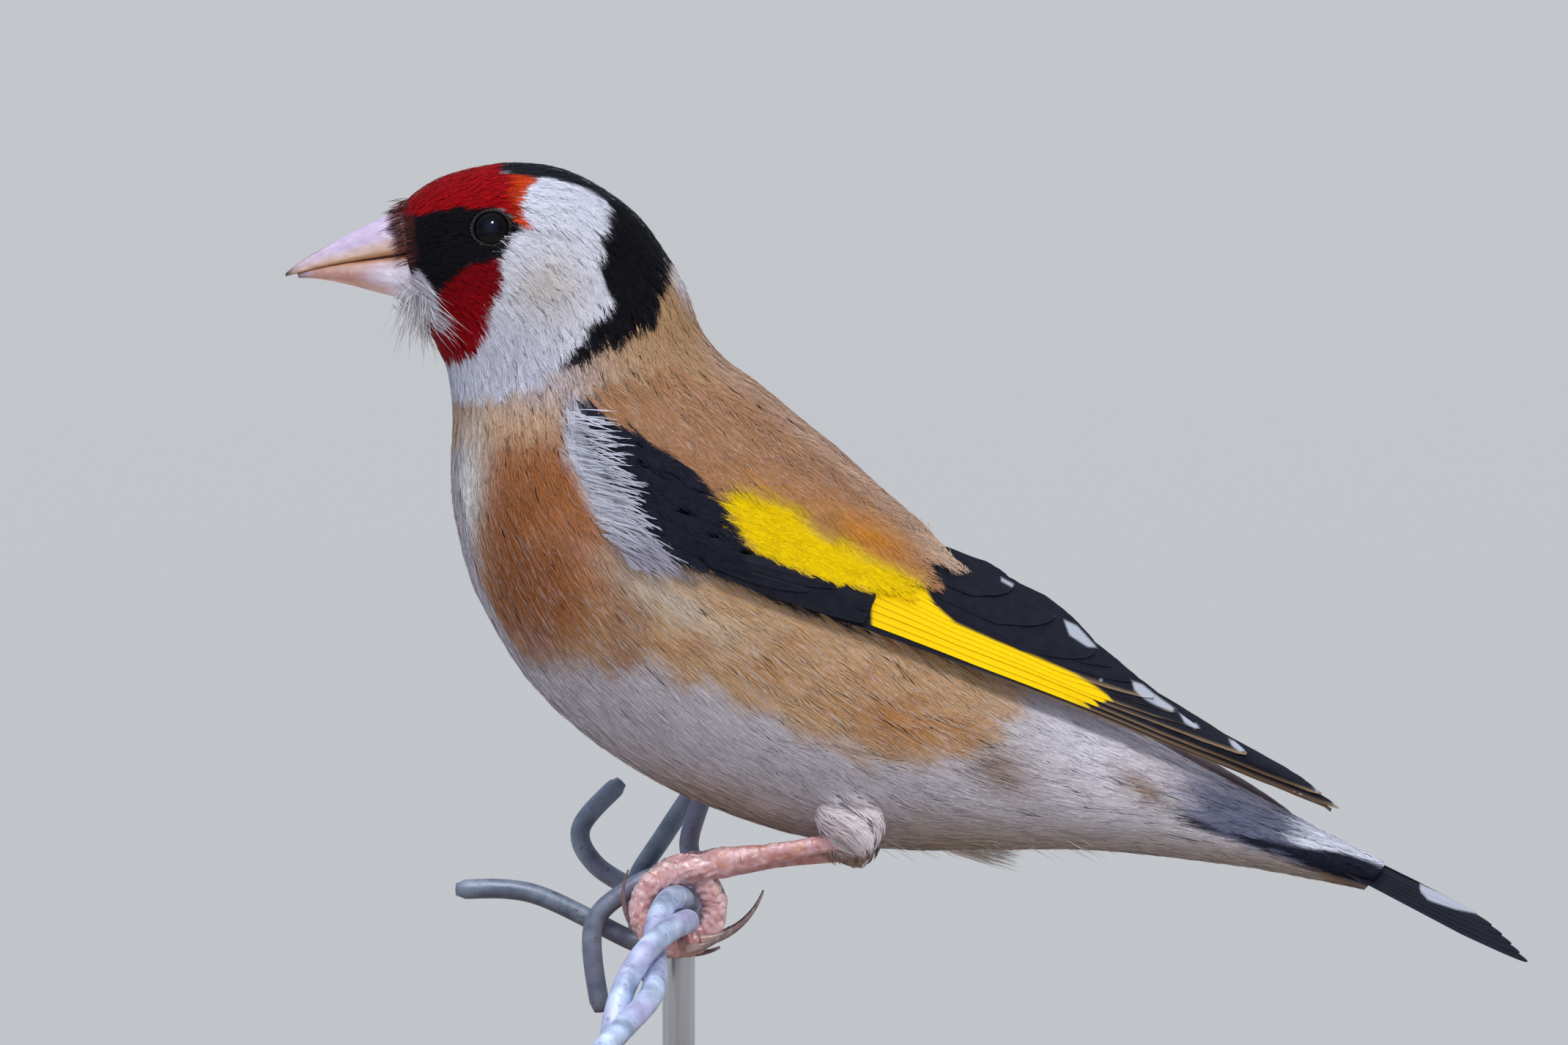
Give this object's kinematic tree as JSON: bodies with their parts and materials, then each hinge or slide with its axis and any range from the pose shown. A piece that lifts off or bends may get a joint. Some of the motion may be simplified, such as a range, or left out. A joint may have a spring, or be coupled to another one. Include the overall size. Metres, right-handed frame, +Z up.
{
  "type": "european goldfinch",
  "caption": "Life-size european goldfinch in still pose, gripping a cut length of twisted wire held over a flat display base.",
  "frame": {"origin": "centre of the underside of the display base", "axes": "+Z up; the bird faces -X, its left side faces -Y, and its midline lies in the plane Y = 0"},
  "size_m": [0.1142, 0.084, 0.0943],
  "materials": {
    "plumage_head": "soft matte feathers: red face, black crown band, white cheek",
    "plumage_neck": "soft matte feathers: white side band, black nape, brown hind neck",
    "plumage_body": "soft matte feathers: warm brown back and breast sides, whitish belly",
    "plumage_thigh": "short whitish brown feathers",
    "plumage_wing": "black flight feathers with a bright yellow panel and white tips",
    "plumage_tail": "black tail feathers with white spots, pale coverts",
    "bill_horn": "smooth pinkish white horn with a dark tip",
    "eye_dark": "wet dark brown eye",
    "leg_skin": "scaly pinkish brown skin",
    "claw_horn": "smooth dark horn",
    "wire_zinc": "dull galvanised wire",
    "stand_wood": "oiled hardwood, display stand",
    "stand_steel": "fine brushed steel rod, display stand"
  },
  "bodies": {
    "root": {"bill_lower": "bill_horn", "bill_upper": "bill_horn", "claw_left_hind": "claw_horn", "claw_left_inner": "claw_horn", "claw_left_middle": "claw_horn", "claw_left_outer": "claw_horn", "claw_right_hind": "claw_horn", "claw_right_inner": "claw_horn", "claw_right_middle": "claw_horn", "claw_right_outer": "claw_horn", "eye_left": "eye_dark", "eye_right": "eye_dark", "foot_left": "leg_skin", "foot_right": "leg_skin", "head": "plumage_head", "neck": "plumage_neck", "perch_barb_1": "wire_zinc", "perch_barb_2": "wire_zinc", "perch_barb_3": "wire_zinc", "perch_strand_1": "wire_zinc", "perch_strand_2": "wire_zinc", "stand_base": "stand_wood", "stand_rod_back": "stand_steel", "stand_rod_front": "stand_steel", "tail": "plumage_tail", "tarsus_left": "leg_skin", "tarsus_right": "leg_skin", "thigh_left": "plumage_thigh", "thigh_right": "plumage_thigh", "torso": "plumage_body", "wing_left": "plumage_wing", "wing_right": "plumage_wing"}
  },
  "joints": []
}
